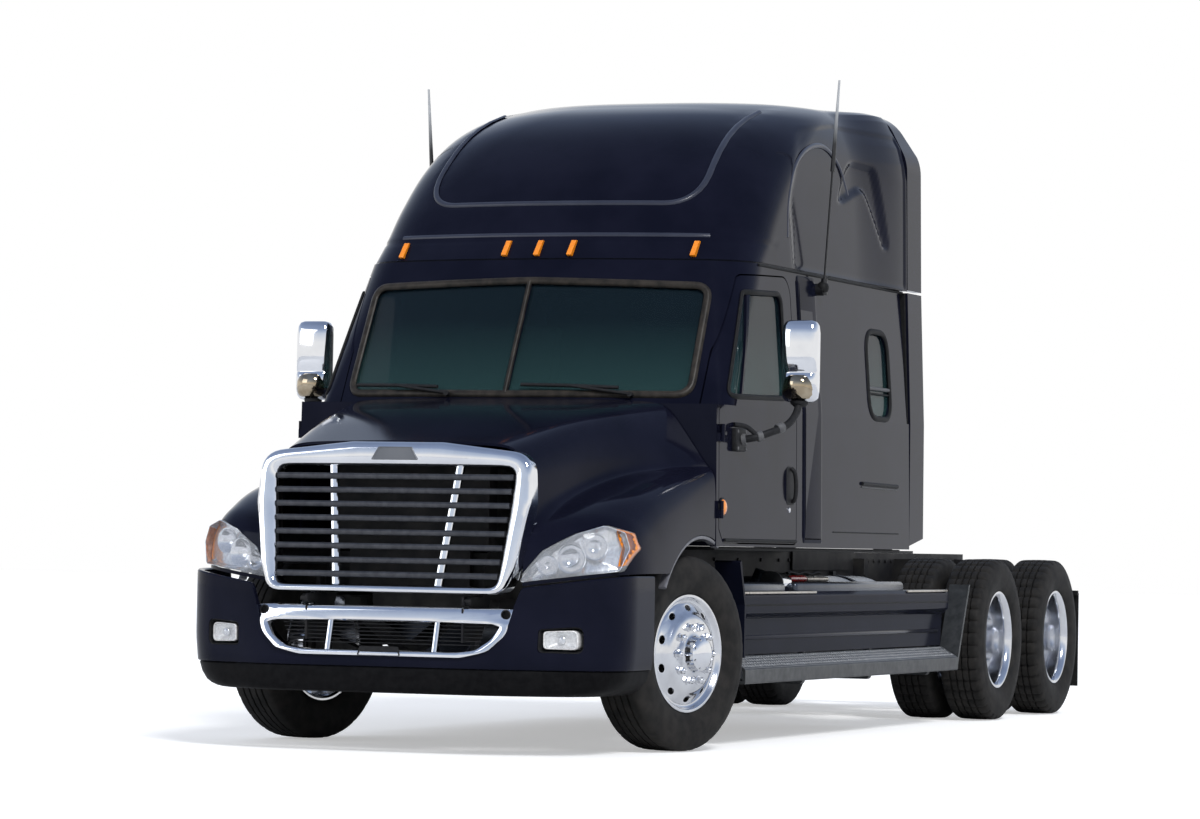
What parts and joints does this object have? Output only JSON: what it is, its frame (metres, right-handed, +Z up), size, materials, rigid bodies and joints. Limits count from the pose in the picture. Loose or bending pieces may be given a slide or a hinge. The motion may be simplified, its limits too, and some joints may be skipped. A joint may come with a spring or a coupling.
{
  "type": "semi truck tractor unit",
  "caption": "Long-nosed tractor unit with a high-roofed sleeper cab, tilting hood, hinged doors, steered front wheels, twinned drive wheels and a tilting trailer coupling.",
  "frame": {"origin": "on the ground under the middle of the whole truck", "axes": "+X to the truck's left, +Y to its rear, +Z up"},
  "size_m": [3.05, 8.69, 3.6704],
  "materials": {
    "body_paint": "high gloss",
    "dark_trim": "matt",
    "grey_trim": "matt",
    "chrome": "polished",
    "glass": "tinted",
    "lamp_clear": "clear",
    "lamp_amber": "gloss",
    "lamp_red": "gloss",
    "mirror_glass": "polished",
    "chassis_black": "satin",
    "cast": "rough",
    "alloy": "polished",
    "tank_alloy": "painted",
    "tread_alloy": "brushed",
    "tyre": "matt",
    "rubber": "matt",
    "cabin_plastic": "matt",
    "cabin_fabric": "woven"
  },
  "bodies": {
    "chassis": {"ladder_frame": "chassis_black", "front_axle_beam": "cast", "front_springs": "chassis_black", "drive_axles": "cast", "rear_suspension": "chassis_black", "engine_block": "cast", "radiator": "chassis_black", "bumper": "body_paint", "lower_grille": "chrome", "fog_lamps": "lamp_clear", "cab_shell": "body_paint", "windshield": "glass", "sleeper_windows": "glass", "roof_cap": "body_paint", "side_extenders": "body_paint", "marker_lamps": "lamp_amber", "dashboard": "cabin_plastic", "steering_wheel": "cabin_plastic", "seats": "cabin_fabric", "bunk": "cabin_fabric", "side_fairings": "body_paint", "side_steps": "tread_alloy", "fuel_tanks": "tank_alloy", "rear_deck": "chassis_black", "cab_mounts": "rubber", "fifth_wheel_base": "cast", "mud_flaps": "rubber", "tail_lamps": "lamp_red", "wipers": "dark_trim", "antennas": "dark_trim"},
    "hood": {"hood_shell": "body_paint", "wheel_liners": "grey_trim", "grille_surround": "chrome", "grille_slats": "chrome", "headlamps": "lamp_clear"},
    "door_left": {"door_left": "body_paint", "door_glass_left": "glass", "mirror_left": "chrome", "mirror_glass_left": "mirror_glass"},
    "door_right": {"door_right": "body_paint", "door_glass_right": "glass", "mirror_right": "chrome", "mirror_glass_right": "mirror_glass"},
    "knuckle_left": {"knuckle_left": "cast"},
    "knuckle_right": {"knuckle_right": "cast"},
    "tie_rod": {"tie_rod": "chassis_black"},
    "steer_wheel_left": {"steer_rim_left": "alloy", "steer_tyre_left": "tyre"},
    "steer_wheel_right": {"steer_rim_right": "alloy", "steer_tyre_right": "tyre"},
    "drive_wheel_front_left": {"drive_rim_front_left": "alloy", "drive_tyres_front_left": "tyre"},
    "drive_wheel_front_right": {"drive_rim_front_right": "alloy", "drive_tyres_front_right": "tyre"},
    "drive_wheel_rear_left": {"drive_rim_rear_left": "alloy", "drive_tyres_rear_left": "tyre"},
    "drive_wheel_rear_right": {"drive_rim_rear_right": "alloy", "drive_tyres_rear_right": "tyre"},
    "fifth_wheel": {"fifth_wheel_plate": "cast"}
  },
  "joints": [
    {"name": "hood_hinge", "type": "hinge", "parent": "chassis", "child": "hood", "pos_m": [0, -4.27, 0.765], "axis": [1, 0, 0], "range_deg": [0, 55]},
    {"name": "door_left_hinge", "type": "hinge", "parent": "chassis", "child": "door_left", "pos_m": [1.213, -2.733, 1.25], "axis": [0, 0, -1], "range_deg": [0, 70]},
    {"name": "door_right_hinge", "type": "hinge", "parent": "chassis", "child": "door_right", "pos_m": [-1.213, -2.733, 1.25], "axis": [0, 0, 1], "range_deg": [0, 70]},
    {"name": "steer_left", "type": "hinge", "parent": "chassis", "child": "knuckle_left", "pos_m": [0.93, -2.985, 0.505], "axis": [0, 0, 1], "range_deg": [-21.2, 50.8]},
    {"name": "steer_right", "type": "hinge", "parent": "chassis", "child": "knuckle_right", "pos_m": [-0.93, -2.985, 0.505], "axis": [0, 0, 1], "range_deg": [-21.2, 50.8]},
    {"name": "tie_rod_end", "type": "hinge", "parent": "knuckle_left", "child": "tie_rod", "pos_m": [0.97854, -2.8013, 0.372], "axis": [0, 0, 1], "range_deg": [-50.8, 21.2]},
    {"name": "steer_wheel_left_spin", "type": "hinge", "parent": "knuckle_left", "child": "steer_wheel_left", "pos_m": [1.04312, -3.01489, 0.505], "axis": [0.9668, -0.2554, 0], "continuous": true},
    {"name": "steer_wheel_right_spin", "type": "hinge", "parent": "knuckle_right", "child": "steer_wheel_right", "pos_m": [-1.04312, -2.95511, 0.505], "axis": [0.9668, -0.2554, 0], "continuous": true},
    {"name": "drive_wheel_front_left_spin", "type": "hinge", "parent": "chassis", "child": "drive_wheel_front_left", "pos_m": [0.9295, 2.419, 0.505], "axis": [1, 0, 0], "continuous": true},
    {"name": "drive_wheel_front_right_spin", "type": "hinge", "parent": "chassis", "child": "drive_wheel_front_right", "pos_m": [-0.9295, 2.419, 0.505], "axis": [1, 0, 0], "continuous": true},
    {"name": "drive_wheel_rear_left_spin", "type": "hinge", "parent": "chassis", "child": "drive_wheel_rear_left", "pos_m": [0.9295, 3.739, 0.505], "axis": [1, 0, 0], "continuous": true},
    {"name": "drive_wheel_rear_right_spin", "type": "hinge", "parent": "chassis", "child": "drive_wheel_rear_right", "pos_m": [-0.9295, 3.739, 0.505], "axis": [1, 0, 0], "continuous": true},
    {"name": "fifth_wheel_tilt", "type": "hinge", "parent": "chassis", "child": "fifth_wheel", "pos_m": [0, 2.765, 1.14], "axis": [1, 0, 0], "range_deg": [-12, 12]}
  ],
  "couplings": [
    {"joint": "steer_right", "follows": "steer_left", "ratio": 1},
    {"joint": "tie_rod_end", "follows": "steer_left", "ratio": -1}
  ]
}
